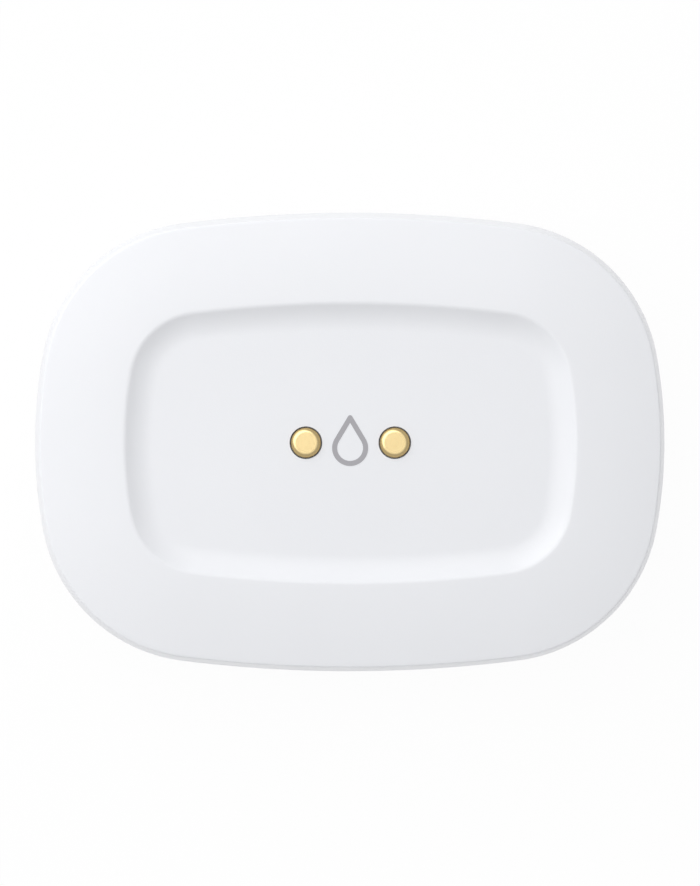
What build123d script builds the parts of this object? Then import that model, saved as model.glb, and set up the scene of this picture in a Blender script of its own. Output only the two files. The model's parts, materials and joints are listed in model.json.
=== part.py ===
import os
from math import acos, atan2, cos, degrees, radians, sin, sqrt

from build123d import *

os.makedirs("parts", exist_ok=True)

# A pocket-size water leak sensor. A white case with a shallow dish in its top lies on the floor
# on four rubber feet. Drips gather in the dish and join its two gold contacts, and a film of
# water on the floor joins two more below. The cover lifts off for the coin cell.
# +X runs along the case, +Z is up, and the origin lies on the floor under the case's middle.

# Case, seen from above: eight arcs, each tangent to the next. The case is built round its coin
# cell, so its length of 56.0, width of 40.8 and height of 16.0 follow from the cell and these.
long_side_radius = 119.0
short_side_radius = 43.5
corner_radius = 14.4
end_bay_length = 8.53
side_bay_width = 4.13

# Case, seen from the side
cell_headroom = 2.6
parting_height = 8.0
foot_proud = 0.8
overrun = 1.0

# Cover moulding
side_lean = 0.55
land_drop = 0.75
land_crown_radius = 60.0
edge_round = 0.2
rim_inset = 8.0
rim_round = 0.64
dish_depth = 0.9
dish_wall_radius = 3.52
dish_floor_wall = 1.3
roof_wall = 1.6
skirt_wall = 1.4
skirt_corner_round = 1.0
parting_round = 0.18

# Base moulding
base_taper = 1.2
base_edge_round = 3.0
base_floor_wall = 1.4
base_corner_round = 1.0
spigot_gap = 0.12
spigot_wall = 1.2
spigot_rise = 3.0
spigot_round = 0.3
groove_rise = 0.7
groove_height = 1.1
groove_depth = 0.55
coin_slot_width = 9.0
coin_slot_height = 0.9
coin_slot_depth = 1.1

# Seal ring between base and cover
seal_clearance = 0.04
seal_bevel = 0.25

# Key that lets the cover go on one way round
key_width = 3.0
key_depth = 0.75
key_clearance = 0.15

# Feet
foot_radius = 3.0
foot_recess = 0.4
foot_bevel = 0.3
foot_place_share = (0.607, 0.49)

# Water contacts: a headed stud, its seal ring, its contact strip and its push-on nut
contact_pitch = 7.85
head_radius = 1.34
head_round = 0.42
head_proud_above = 0.35
head_proud_below = 0.5
counterbore_depth = 0.75
counterbore_gap = 0.1
shank_radius = 0.65
shank_chamfer = 0.12
shank_gap = 0.05
contact_seal_thickness = 0.5
nut_radius = 1.6
nut_thickness = 0.25
nut_collar = 0.2
shank_end_free = 0.3

# Contact strips inside the cover and the posts that carry them
strip_thickness = 0.2
strip_width = 2.8
strip_bend = 0.4
strip_pad = 1.8
post_thickness = 1.2
post_width = 3.2
post_gap = 2.0

# Circuit board
board_thickness = 1.0
board_rise = 2.2
board_clearance = 0.35
boss_radius = 2.1
boss_place_share = (0.782, 0.606)
rib_width = 0.8
rib_rise = 1.2
pin_radius = 0.7
pin_proud = 0.6
pin_clearance = 0.08
pin_place_share = (0.30, 0.86)

# Board screws
screw_radius = 0.8
screw_fit = 0.02
screw_length = 3.2
screw_hole_play = 0.15
screw_head_radius = 1.6
screw_head_height = 1.1
screw_tip_gap = 0.2

# Coin cell, 24.5 mm by 5.0 mm
cell_radius = 12.25
cell_height = 5.0
cell_can_wall = 0.25
cell_round = 0.6
cell_crimp = 0.45
cap_inset = 1.15
cap_step = 0.35
gasket_height = 0.9

# Cell holder
holder_floor = 0.8
holder_play = 0.15
holder_wall = 0.8
holder_rise = 3.6
holder_window_radius = 8.0
finger_notch_width = 10.0
hook_width = 3.6
hook_lip = 0.5
hook_gap = 0.06
hook_nose = 0.25
holder_peg_radius = 0.6
holder_peg_play = 0.08
holder_peg_angle = 45.0

# Spring parts, all of the same strip metal
spring_thickness = 0.2
clip_width = 5.0
clip_gap = 0.5
clip_foot = 2.3
clip_reach = 4.4
clip_arch = 0.7
clip_bend = 0.5
leaf_width = 4.0
leaf_bend = 1.5
leaf_share = (-0.82, -0.3, 0.42, 0.7)
finger_width = 1.6
finger_length = 2.8
finger_bend = 0.3
finger_clearance = 0.05
finger_rise_share = 0.93
finger_shape_share = (0.62, 0.25, 0.66)

# Cell pads under the dish
pad_radius = 1.0
pad_gap = 0.1
pad_place_share = 0.7

# Radio module
module_length = 5.6
module_width = 10.0
module_thickness = 0.7
shield_margin = 0.35
shield_height = 1.3
shield_width = 6.6
shield_round = 0.4
antenna_length = 3.8
antenna_width = 1.1
antenna_height = 0.8

# Connect button: a push switch on the board
switch_side = 5.2
switch_chamfer = 0.7
switch_height = 1.5
switch_plate_thickness = 0.2
switch_cavity_radius = 2.1
switch_cavity_depth = 1.0
switch_y = 5.4
stem_radius = 1.3
stem_clearance = 0.05
stem_proud = 0.8
stem_flange_radius = 1.75
stem_flange_height = 0.3
stem_edge_round = 0.2
dome_radius = 1.9
dome_height = 0.3
dome_thickness = 0.08
leg_length = 0.6
leg_width = 0.7
leg_thickness = 0.15
leg_spacing = 3.2

# Status light and its guide
led_length = 1.6
led_width = 0.8
led_height = 0.6
led_y = -4.6
guide_radius = 0.9
guide_fit = 0.04
guide_skin = 0.75
guide_gap = 0.3
guide_place_share = 0.62
sleeve_wall = 0.65
sleeve_drop = 2.6

# Other parts on the board
sensor_side = 2.0
sensor_height = 0.8
sensor_vent_radius = 0.3
sensor_place_share = (0.60, -0.72)
regulator_length = 2.9
regulator_width = 1.6
regulator_height = 1.1
regulator_place_share = (-0.55, -0.74)
crystal_length = 3.2
crystal_width = 1.5
crystal_height = 0.8
crystal_round = 0.5
crystal_place_share = (-0.50, 0.80)
chip_length = 1.6
chip_width = 0.8
capacitor_height = 0.8
resistor_height = 0.45
capacitor_place_share = ((0.62, 0.69), (0.54, 0.77), (-0.62, 0.69), (-0.40, -0.84))
resistor_place_share = ((0.47, -0.80), (0.40, -0.86), (-0.30, -0.89), (0.40, 0.85))

# Places that follow from the sizes above
base_bottom = foot_proud
base_floor = base_bottom + base_floor_wall
board_bottom = base_floor + board_rise
board_top = board_bottom + board_thickness
cell_bottom = board_top + holder_floor
cell_top = cell_bottom + cell_height
dish_ceiling = cell_top + cell_headroom
dish_floor = dish_ceiling + dish_floor_wall
case_height = dish_floor + dish_depth
spigot_top = parting_height + spigot_rise
groove_bottom = parting_height + groove_rise
groove_top = groove_bottom + groove_height
land_edge = case_height - land_drop
dish_wall_run = sqrt(dish_wall_radius ** 2 - (dish_wall_radius - dish_depth) ** 2)
dish_floor_inset = rim_inset + dish_wall_run
spigot_inset = skirt_wall + spigot_gap
inner_inset = spigot_inset + spigot_wall
board_inset = inner_inset + board_clearance
cap_radius = cell_radius - cap_inset
holder_inner = cell_radius + holder_play
holder_outer = holder_inner + holder_wall
post_inner = holder_outer + post_gap
post_outer = post_inner + post_thickness
board_half_length = post_outer + end_bay_length
board_half_width = holder_outer + side_bay_width
case_half_length = board_half_length + board_inset
case_half_width = board_half_width + board_inset
contact_x = contact_pitch / 2
counterbore_radius = head_radius + counterbore_gap
shank_hole_radius = shank_radius + shank_gap
strip_underside = dish_ceiling - strip_thickness
upper_finger_rise = finger_length * finger_rise_share
post_bottom = board_top + upper_finger_rise + finger_clearance + strip_thickness
lower_shank_end = base_floor + nut_thickness + nut_collar + shank_end_free
upper_shank_end = strip_underside - nut_thickness - nut_collar - shank_end_free
end_bay_middle = (post_outer + board_half_length) / 2


def unit_vector(dx, dy):
    return Vector(dx, dy).normalized()


def outline_arcs(inset):
    # Each arc of the outline: centre, radius, and the angles it runs between, anticlockwise.
    # The corner arc touches the long and short side arcs from inside, so its centre lies where
    # two circles cross, one about each side arc's centre.
    long_centre = Vector(0, case_half_width - long_side_radius)
    short_centre = Vector(case_half_length - short_side_radius, 0)
    reach_long = long_side_radius - corner_radius
    reach_short = short_side_radius - corner_radius
    between = short_centre - long_centre
    span = between.length
    along = (reach_long ** 2 - reach_short ** 2 + span ** 2) / (2 * span)
    aside = sqrt(reach_long ** 2 - along ** 2)
    ahead = unit_vector(between.X, between.Y)
    corner = long_centre + ahead * along + Vector(ahead.Y, -ahead.X) * aside
    to_long = corner - long_centre
    to_short = corner - short_centre
    high = degrees(atan2(to_long.Y, to_long.X))
    low = degrees(atan2(to_short.Y, to_short.X))
    half_turn = 180
    arcs = []
    for side in (0, 1):
        turned = side * half_turn
        sign = 1 - 2 * side
        short_mid = Vector(sign * short_centre.X, 0)
        long_mid = Vector(0, sign * long_centre.Y)
        first = Vector(sign * corner.X, sign * corner.Y)
        second = Vector(-sign * corner.X, sign * corner.Y)
        arcs.append((short_mid, short_side_radius - inset, turned - low, turned + low))
        arcs.append((first, corner_radius - inset, turned + low, turned + high))
        arcs.append((long_mid, long_side_radius - inset, turned + high, turned + half_turn - high))
        arcs.append((second, corner_radius - inset, turned + half_turn - high, turned + half_turn - low))
    return arcs


def outline_face(inset):
    edges = [CenterArc((centre.X, centre.Y), radius, start, end - start)
             for centre, radius, start, end in outline_arcs(inset)]
    return make_face(edges)


def plate(inset, bottom, top):
    # A flat slab with the case's outline, drawn in by the inset
    return Pos(0, 0, bottom) * extrude(outline_face(inset), top - bottom)


def ring(section):
    # The section, drawn with X as minus the inset and Y as the height, carried round the outline
    upright = Plane.XZ * section
    sectors = []
    for centre, radius, start, end in outline_arcs(0):
        placed = Pos(centre.X, centre.Y, 0) * Rot(0, 0, start) * Pos(radius, 0, 0) * upright
        axis = Axis((centre.X, centre.Y, 0), (0, 0, 1))
        sectors.append(revolve(placed, axis, end - start))
    return sectors[0].fuse(*sectors[1:]).clean()


def section_face(lines):
    return make_face([edge for line in lines for edge in line.edges()])


def polygon(*points):
    return make_face(Polyline(*points, close=True))


def round_corner(face, point, radius):
    # Rounds the one corner of a flat face that lies at the point
    return face.face().fillet_2d(radius, [face.vertices().sort_by_distance(Vector(*point))[0]])


def bevel_corner(face, point, size):
    # Bevels the one corner of a flat face that lies at the point
    return face.face().chamfer_2d(size, size, [face.vertices().sort_by_distance(Vector(*point))[0]])


def at(x, y, z, shape):
    return Pos(x, y, z) * shape


def rod(radius, bottom, top, x=0, y=0):
    return at(x, y, bottom, extrude(Circle(radius), top - bottom))


def block(length, width, bottom, top, x=0, y=0):
    return at(x, y, bottom, extrude(Rectangle(length, width), top - bottom))


def turned_part(face):
    return revolve(Plane.XZ * face, Axis.Z)


def upright_strip(points, bend, thickness, width):
    # Strip metal bent along a line in the XZ plane; the line is the middle of its thickness
    path = FilletPolyline(*points, radius=bend)
    flat = trace(path, thickness)
    return extrude(Plane.XZ * flat, width / 2, both=True)


def save(node, shape):
    shape.label = node
    export_step(shape, f"parts/{node}.step")


def group(shapes):
    return Compound(children=[solid for shape in shapes for solid in shape.solids()])


def four_places(x, y):
    return [(x, y), (-x, y), (-x, -y), (x, -y)]


# Cover

def cover_section():
    floor_x = -dish_floor_inset
    wall_middle_height = dish_floor + dish_wall_radius
    half_sweep = acos((dish_wall_radius - dish_depth) / dish_wall_radius) / 2
    wall_mid = (floor_x + dish_wall_radius * sin(half_sweep),
                wall_middle_height - dish_wall_radius * cos(half_sweep))
    under_radius = dish_wall_radius + dish_floor_wall
    under_rise = wall_middle_height - (case_height - roof_wall)
    under_run = sqrt(under_radius ** 2 - under_rise ** 2)
    under_half = atan2(under_run, under_rise) / 2
    under_mid = (floor_x + under_radius * sin(under_half),
                 wall_middle_height - under_radius * cos(under_half))
    lip = (0, parting_height)
    edge = (-side_lean, land_edge)
    rim = (-rim_inset, case_height)
    foot = (floor_x, dish_floor)
    ceiling = (floor_x, dish_ceiling)
    shoulder = (floor_x + under_run, case_height - roof_wall)
    pocket = (-skirt_wall, land_edge - roof_wall)
    inner_lip = (-skirt_wall, parting_height)
    face = section_face([
        Line(lip, edge),
        RadiusArc(edge, rim, -land_crown_radius),
        ThreePointArc(rim, wall_mid, foot),
        Line(foot, ceiling),
        ThreePointArc(ceiling, under_mid, shoulder),
        Polyline(shoulder, pocket, inner_lip, lip),
    ])
    face = round_corner(face, edge, edge_round)
    face = round_corner(face, rim, rim_round)
    face = round_corner(face, pocket, skirt_corner_round)
    return round_corner(face, lip, parting_round)


def contact_seat(outer, facing):
    # What a contact needs cut from its wall: a counterbore and a hole for the shank.
    # Facing is 1 where the head looks up and -1 where it looks down.
    bore = Pos(0, 0, -facing * counterbore_depth / 2) * Cylinder(counterbore_radius, counterbore_depth)
    through = Cylinder(shank_hole_radius, 2 * (counterbore_depth + dish_floor_wall + overrun))
    seat = bore + through
    return [at(side * contact_x, 0, outer, seat) for side in (-1, 1)]


def strip_post(side):
    inner_round = strip_bend - strip_thickness / 2
    face = polygon((post_inner, post_bottom), (post_outer, post_bottom),
                   (post_outer, dish_floor - dish_floor_wall / 2),
                   (post_inner, dish_floor - dish_floor_wall / 2))
    face = round_corner(face, (post_inner, post_bottom), inner_round)
    post = extrude(Plane.XZ * face, post_width / 2, both=True)
    return post if side > 0 else mirror(post, Plane.YZ)


def guide_place():
    return case_half_length - rim_inset * guide_place_share, led_y


def make_top_cover():
    cover = ring(cover_section()) + plate(dish_floor_inset, dish_ceiling, dish_floor)
    for side in (-1, 1):
        cover = cover + strip_post(side)
    pad_place = cell_radius * pad_place_share * sqrt(1 / 2)
    for x, y in four_places(pad_place, pad_place):
        cover = cover + rod(pad_radius, cell_top + pad_gap, dish_floor - dish_floor_wall / 2, x, y)
    key_outer = case_half_width - skirt_wall / 2
    key_inner = case_half_width - spigot_inset - key_depth
    key_top = land_edge - roof_wall / 2
    cover = cover + block(key_width, key_outer - key_inner, groove_top + 2 * key_clearance, key_top,
                          0, (key_outer + key_inner) / 2)
    guide_x, guide_y = guide_place()
    sleeve_bottom = land_edge - roof_wall - sleeve_drop
    guide_top = case_height - land_drop / 2 - guide_skin
    sleeve_radius = guide_radius + guide_fit + sleeve_wall
    cover = cover + rod(sleeve_radius, sleeve_bottom, guide_top - guide_skin / 2, guide_x, guide_y)
    cover = cover - rod(guide_radius + guide_fit, sleeve_bottom - overrun, guide_top, guide_x, guide_y)
    for seat in contact_seat(dish_floor, 1):
        cover = cover - seat
    return cover


def make_light_guide():
    guide_x, guide_y = guide_place()
    guide_top = case_height - land_drop / 2 - guide_skin
    return rod(guide_radius, board_top + led_height + guide_gap, guide_top, guide_x, guide_y)


# Contacts

def make_stud(proud, shank_end):
    # Drawn with the wall's outer face at height zero and the head above it
    head_under = contact_seal_thickness - counterbore_depth
    face = polygon((0, proud), (head_radius, proud), (head_radius, head_under),
                   (shank_radius, head_under), (shank_radius, -shank_end), (0, -shank_end))
    face = round_corner(face, (head_radius, proud), head_round)
    return turned_part(bevel_corner(face, (shank_radius, -shank_end), shank_chamfer))


def make_contact_seal():
    # Squeezed between the head and the counterbore, so its section is flat above and below
    middle = (shank_radius + counterbore_radius) / 2
    half = contact_seal_thickness / 2
    section = chamfer(Rectangle(contact_seal_thickness, contact_seal_thickness).vertices(), half / 2)
    return turned_part(Pos(middle, half - counterbore_depth) * section)


def make_push_nut():
    # Drawn lying on height zero with its gripping collar towards -Z
    flat_inner = (shank_radius + nut_radius) / 2
    face = polygon((shank_radius, -nut_collar), (flat_inner, 0), (nut_radius, 0), (nut_radius, -nut_thickness),
                   (flat_inner, -nut_thickness), (shank_radius, -nut_thickness - nut_collar))
    return turned_part(face)


def facing_down(shape):
    return mirror(shape, Plane.XY)


def make_contact_strip():
    middle_top = dish_ceiling - strip_thickness / 2
    middle_down = post_inner - strip_thickness / 2
    middle_foot = post_bottom - strip_thickness / 2
    strip = upright_strip([(contact_x - strip_pad, middle_top), (middle_down, middle_top),
                           (middle_down, middle_foot), (post_outer, middle_foot)],
                          strip_bend, strip_thickness, strip_width)
    hole = rod(shank_hole_radius, strip_underside - overrun, dish_ceiling + overrun, contact_x)
    return strip - hole


# Base

def base_section():
    plate_inset = base_plate_inset()
    lip = (0, parting_height)
    heel = (-base_taper, base_bottom)
    inner_heel = (-inner_inset, base_floor)
    crest = (-spigot_inset, spigot_top)
    face = polygon(lip, heel, (-plate_inset, base_bottom), (-plate_inset, base_floor), inner_heel,
                   (-inner_inset, spigot_top), crest, (-spigot_inset, groove_top),
                   (-spigot_inset - groove_depth, groove_top), (-spigot_inset - groove_depth, groove_bottom),
                   (-spigot_inset, groove_bottom), (-spigot_inset, parting_height))
    face = round_corner(face, heel, base_edge_round)
    face = round_corner(face, inner_heel, base_corner_round)
    face = round_corner(face, crest, spigot_round)
    return round_corner(face, lip, parting_round)


def base_plate_inset():
    return base_taper + base_edge_round + base_corner_round


def foot_places():
    return four_places(case_half_length * foot_place_share[0], case_half_width * foot_place_share[1])


def boss_places():
    return four_places(board_half_length * boss_place_share[0], board_half_width * boss_place_share[1])


def pin_places():
    x, y = board_place(pin_place_share)
    return [(x, -y), (-x, y)]


def make_base_shell():
    base = ring(base_section()) + plate(base_plate_inset(), base_bottom, base_floor)
    boss_x, boss_y = boss_places()[0]
    root = base_bottom + base_floor_wall / 2
    for side in (-1, 1):
        base = base + block(2 * boss_x, rib_width, root, base_floor + rib_rise, 0, side * boss_y)
        base = base + block(rib_width, 2 * boss_y, root, base_floor + rib_rise, side * boss_x, 0)
    for x, y in boss_places():
        base = base + rod(boss_radius, root, board_bottom, x, y)
    for x, y in boss_places():
        base = base - rod(screw_radius + screw_fit, board_top - screw_length - screw_tip_gap,
                          board_bottom + overrun, x, y)
    for x, y in pin_places():
        base = base + rod(boss_radius, root, board_bottom, x, y)
        base = base + rod(pin_radius, root, board_top + pin_proud, x, y)
    for x, y in foot_places():
        base = base - rod(foot_radius, base_bottom - overrun, base_bottom + foot_recess, x, y)
    for side in (-1, 1):
        base = base - block(2 * coin_slot_depth, coin_slot_width, parting_height - coin_slot_height,
                            parting_height, side * case_half_length, 0)
    notch_width = key_width + 2 * key_clearance
    base = base - block(notch_width, 2 * (spigot_wall + spigot_gap), groove_top + key_clearance,
                        spigot_top + overrun, 0, case_half_width - inner_inset)
    for seat in contact_seat(base_bottom, -1):
        base = base - seat
    return base


def make_rim_seal():
    inner = -spigot_inset - groove_depth
    outer = -skirt_wall - seal_clearance
    face = polygon((inner, groove_bottom), (outer, groove_bottom), (outer, groove_top), (inner, groove_top))
    face = bevel_corner(face, (outer, groove_bottom), seal_bevel)
    face = bevel_corner(face, (outer, groove_top), seal_bevel)
    return ring(face)


def make_foot():
    face = polygon((0, 0), (foot_radius, 0), (foot_radius, foot_proud + foot_recess), (0, foot_proud + foot_recess))
    return turned_part(bevel_corner(face, (foot_radius, 0), foot_bevel))


# Board

def make_circuit_board():
    board = plate(board_inset, board_bottom, board_top)
    for x, y in boss_places():
        board = board - rod(screw_radius + screw_hole_play, board_bottom - overrun, board_top + overrun, x, y)
    for x, y in pin_places():
        board = board - rod(pin_radius + pin_clearance, board_bottom - overrun, board_top + overrun, x, y)
    for x, y in holder_peg_places():
        board = board - rod(holder_peg_radius + holder_peg_play, board_bottom - overrun,
                            board_top + overrun, x, y)
    return board


def make_board_screw():
    face = polygon((0, -screw_length), (screw_radius, -screw_length), (screw_radius, 0), (screw_head_radius, 0),
                   (screw_head_radius, screw_head_height), (0, screw_head_height))
    face = bevel_corner(face, (screw_head_radius, screw_head_height), screw_head_height / 3)
    return turned_part(bevel_corner(face, (screw_radius, -screw_length), screw_radius / 2))


def on_board(length, width, height, x, y):
    return block(length, width, board_top, board_top + height, x, y)


def board_place(share):
    return board_half_length * share[0], board_half_width * share[1]


# Cell and its holder

def holder_peg_places():
    reach = (holder_window_radius + holder_outer) / 2
    turn = radians(holder_peg_angle)
    x = reach * cos(turn)
    y = reach * sin(turn)
    return [(x, y), (-x, -y)]


def holder_hook(side):
    catch = cell_top + hook_gap
    crown = catch + hook_nose + hook_lip + holder_wall
    root = cell_bottom + holder_rise / 2
    face = polygon((holder_inner, root), (holder_outer, root), (holder_outer, crown),
                   (holder_inner - hook_lip, catch + hook_nose), (holder_inner - hook_lip, catch),
                   (holder_inner, catch))
    hook = extrude(Plane.XZ * face, hook_width / 2, both=True)
    return hook if side > 0 else mirror(hook, Plane.YZ)


def make_battery_holder():
    holder = rod(holder_outer, board_top, cell_bottom + holder_rise)
    holder = holder - rod(holder_inner, cell_bottom, cell_bottom + holder_rise + overrun)
    holder = holder - rod(holder_window_radius, board_top - overrun, cell_bottom + overrun)
    holder = holder - block(finger_notch_width, 2 * holder_wall + 2 * holder_play + overrun, cell_bottom,
                            cell_bottom + holder_rise + overrun, 0, holder_outer)
    for side in (-1, 1):
        holder = holder + holder_hook(side)
    for x, y in holder_peg_places():
        holder = holder + rod(holder_peg_radius, board_bottom, board_top + holder_floor / 2, x, y)
    return holder


def make_cell_can():
    # The can opens downwards round the gasket; what it holds is solid with it
    rim_inner = cap_radius + cell_crimp
    core = cap_radius - cell_crimp
    face = polygon((0, cell_top), (cell_radius, cell_top), (cell_radius, cell_bottom + cap_step),
                   (rim_inner, cell_bottom + cap_step), (rim_inner, cell_bottom + cap_step + gasket_height),
                   (core, cell_bottom + cap_step + gasket_height), (core, cell_bottom + cell_can_wall),
                   (0, cell_bottom + cell_can_wall))
    face = round_corner(face, (cell_radius, cell_top), cell_round)
    face = bevel_corner(face, (cell_radius, cell_bottom + cap_step), cell_round / 2)
    return turned_part(face)


def make_cell_gasket():
    # Seated in the can's rim, round the foot of the cap
    rim_inner = cap_radius + cell_crimp
    core = cap_radius - cell_crimp
    top = cell_bottom + cap_step + gasket_height
    face = polygon((cap_radius, cell_bottom + cap_step), (rim_inner, cell_bottom + cap_step), (rim_inner, top),
                   (core, top), (core, top - cell_can_wall), (cap_radius, top - cell_can_wall))
    return turned_part(face)


def make_cell_cap():
    # A shallow pan that fills the can's mouth, its wall standing inside the gasket
    core = cap_radius - cell_crimp
    top = cell_bottom + cap_step + gasket_height - cell_can_wall
    face = polygon((0, cell_bottom), (cap_radius, cell_bottom), (cap_radius, top), (core, top),
                   (core, cell_bottom + cell_can_wall), (0, cell_bottom + cell_can_wall))
    return turned_part(round_corner(face, (cap_radius, cell_bottom), cell_can_wall))


def make_positive_clip():
    # Soldered outside the holder, up past its wall and down onto the top of the cell
    half = spring_thickness / 2
    wall_y = -holder_outer - clip_gap
    crest = cell_top + clip_arch + spring_thickness
    touch_y = wall_y + clip_reach
    points = [(wall_y - clip_foot, board_top + half), (wall_y, board_top + half), (wall_y, crest),
              (wall_y + clip_reach / 2, crest), (touch_y, cell_top + half),
              (touch_y + clip_arch, cell_top + clip_arch)]
    flat = trace(FilletPolyline(*points, radius=clip_bend), spring_thickness)
    return extrude(Plane.YZ * flat, clip_width / 2, both=True)


def make_negative_contact():
    half = spring_thickness / 2
    tail, knee, touch, tip = (holder_window_radius * share for share in leaf_share)
    points = [(tail, board_top + half), (knee, board_top + half), (touch, cell_bottom - half),
              (tip, board_top + holder_floor / 2)]
    return upright_strip(points, leaf_bend, spring_thickness, leaf_width)


def spring_finger(rise):
    # A bent leaf on height zero that stands as high as the rise
    half = spring_thickness / 2
    reach = finger_length / 2
    turn_share, crest_share, tip_share = finger_shape_share
    points = [(-reach, half), (reach, half), (reach, rise * turn_share), (-reach * crest_share, rise - half),
              (-reach, rise * tip_share)]
    flat = trace(FilletPolyline(*points, radius=finger_bend), spring_thickness)
    finger = extrude(Plane.YZ * flat, finger_width / 2, both=True)
    slack = rise - finger.bounding_box().max.Z
    return finger, slack


def finger_that_reaches(rise):
    # The bends round the crest off, so the points go up by what the first try lacks
    first, slack = spring_finger(rise)
    second, left = spring_finger(rise + slack)
    return second


def make_upper_fingers():
    finger = finger_that_reaches(upper_finger_rise)
    middle = (post_inner + post_outer) / 2
    return [at(side * middle, 0, board_top, finger) for side in (-1, 1)]


def make_lower_fingers():
    finger = facing_down(finger_that_reaches(board_bottom - lower_shank_end - finger_clearance))
    return [at(side * contact_x, 0, board_bottom, finger) for side in (-1, 1)]


# Radio module

def make_radio_module_board():
    return on_board(module_length, module_width, module_thickness, -end_bay_middle, 0)


def make_radio_shield():
    bottom = board_top + module_thickness
    length = module_length - 2 * shield_margin
    middle = (module_width - shield_width) / 2 - shield_margin
    shield = block(length, shield_width, bottom, bottom + shield_height, -end_bay_middle, middle)
    shield = fillet(shield.edges().filter_by(Axis.Z), shield_round)
    return fillet(shield.edges().group_by(Axis.Z)[-1], shield_round / 2)


def make_chip_antenna():
    bottom = board_top + module_thickness
    free = module_width - shield_width - shield_margin
    return block(antenna_length, antenna_width, bottom, bottom + antenna_height, -end_bay_middle,
                 (free - module_width) / 2)


# Connect button

def switch_corner():
    return end_bay_middle, switch_y


def make_switch_body():
    x, y = switch_corner()
    body = extrude(chamfer(Rectangle(switch_side, switch_side).vertices(), switch_chamfer), switch_height)
    cavity = rod(switch_cavity_radius, switch_height - switch_cavity_depth, switch_height + overrun)
    return at(x, y, board_top, body - cavity)


def make_switch_plate():
    x, y = switch_corner()
    face = chamfer(Rectangle(switch_side, switch_side).vertices(), switch_chamfer)
    face = face - Circle(stem_radius + stem_clearance)
    return at(x, y, board_top + switch_height, extrude(face, switch_plate_thickness))


def make_switch_dome():
    x, y = switch_corner()
    rise = dome_height - dome_thickness
    radius = (dome_radius ** 2 + rise ** 2) / (2 * rise)
    outer = (dome_radius ** 2 + dome_height ** 2) / (2 * dome_height)
    cap = Pos(0, 0, dome_height - outer) * Sphere(outer)
    hollow = Pos(0, 0, rise - radius) * Sphere(radius)
    side = 2 * (dome_radius + overrun)
    keep = Pos(0, 0, dome_height / 2) * Box(side, side, dome_height)
    floor = board_top + switch_height - switch_cavity_depth
    return at(x, y, floor, (cap - hollow) & keep)


def make_switch_stem():
    x, y = switch_corner()
    ceiling = switch_height - stem_clearance
    top = switch_height + switch_plate_thickness + stem_proud
    face = polygon((0, ceiling - stem_flange_height), (stem_flange_radius, ceiling - stem_flange_height),
                   (stem_flange_radius, ceiling), (stem_radius, ceiling), (stem_radius, top), (0, top))
    return at(x, y, board_top, turned_part(round_corner(face, (stem_radius, top), stem_edge_round)))


def make_switch_terminals():
    x, y = switch_corner()
    legs = []
    for side in (-1, 1):
        for step in (-1, 1):
            legs.append(on_board(leg_length, leg_width, leg_thickness,
                                 x + side * (switch_side + leg_length) / 2, y + step * leg_spacing / 2))
    return legs


# Small parts on the board

def make_status_led():
    x, y = guide_place()
    base = on_board(led_length, led_width, led_height / 3, x, y)
    lens = block(led_length * 2 / 3, led_width, board_top + led_height / 3, board_top + led_height, x, y)
    return base + lens


def make_temperature_sensor():
    x, y = board_place(sensor_place_share)
    vent = rod(sensor_vent_radius, board_top + sensor_height / 2, board_top + sensor_height + overrun, x, y)
    return on_board(sensor_side, sensor_side, sensor_height, x, y) - vent


def make_voltage_regulator():
    x, y = board_place(regulator_place_share)
    body = on_board(regulator_length, regulator_width, regulator_height, x, y)
    return chamfer(body.edges().group_by(Axis.Z)[-1], regulator_height / 5)


def make_crystal():
    x, y = board_place(crystal_place_share)
    body = on_board(crystal_length, crystal_width, crystal_height, x, y)
    return fillet(body.edges().filter_by(Axis.Z), crystal_round)


def make_chips(places, height):
    return [on_board(chip_length, chip_width, height, *board_place(share)) for share in places]


# Write every piece

save("top_cover", make_top_cover())
save("light_guide", make_light_guide())
upper_stud = make_stud(head_proud_above, dish_floor - upper_shank_end)
lower_stud = facing_down(make_stud(head_proud_below, lower_shank_end - base_bottom))
contact_seal = make_contact_seal()
push_nut = make_push_nut()
contact_strip = make_contact_strip()
sides = {"left": -1, "right": 1}
for name, side in sides.items():
    save(f"{name}_top_contact", at(side * contact_x, 0, dish_floor, upper_stud))
    save(f"{name}_bottom_contact", at(side * contact_x, 0, base_bottom, lower_stud))
    strip = contact_strip if side > 0 else mirror(contact_strip, Plane.YZ)
    save(f"{name}_contact_strip", strip)
contact_sides = (-contact_x, contact_x)
save("top_contact_seals", group([at(x, 0, dish_floor, contact_seal) for x in contact_sides]))
save("top_contact_nuts", group([at(x, 0, strip_underside, push_nut) for x in contact_sides]))
save("bottom_contact_seals", group([at(x, 0, base_bottom, facing_down(contact_seal)) for x in contact_sides]))
save("bottom_contact_nuts", group([at(x, 0, base_floor, facing_down(push_nut)) for x in contact_sides]))

save("base_shell", make_base_shell())
save("rim_seal", make_rim_seal())
save("rubber_feet", group([at(x, y, 0, make_foot()) for x, y in foot_places()]))

save("circuit_board", make_circuit_board())
save("board_screws", group([at(x, y, board_top, make_board_screw()) for x, y in boss_places()]))
save("upper_spring_fingers", group(make_upper_fingers()))
save("lower_spring_fingers", group(make_lower_fingers()))

save("battery_holder", make_battery_holder())
save("cell_can", make_cell_can())
save("cell_gasket", make_cell_gasket())
save("cell_cap", make_cell_cap())
save("positive_clip", make_positive_clip())
save("negative_contact", make_negative_contact())

save("radio_module_board", make_radio_module_board())
save("radio_shield", make_radio_shield())
save("chip_antenna", make_chip_antenna())

save("switch_body", make_switch_body())
save("switch_plate", make_switch_plate())
save("switch_dome", make_switch_dome())
save("switch_stem", make_switch_stem())
save("switch_terminals", group(make_switch_terminals()))

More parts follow.
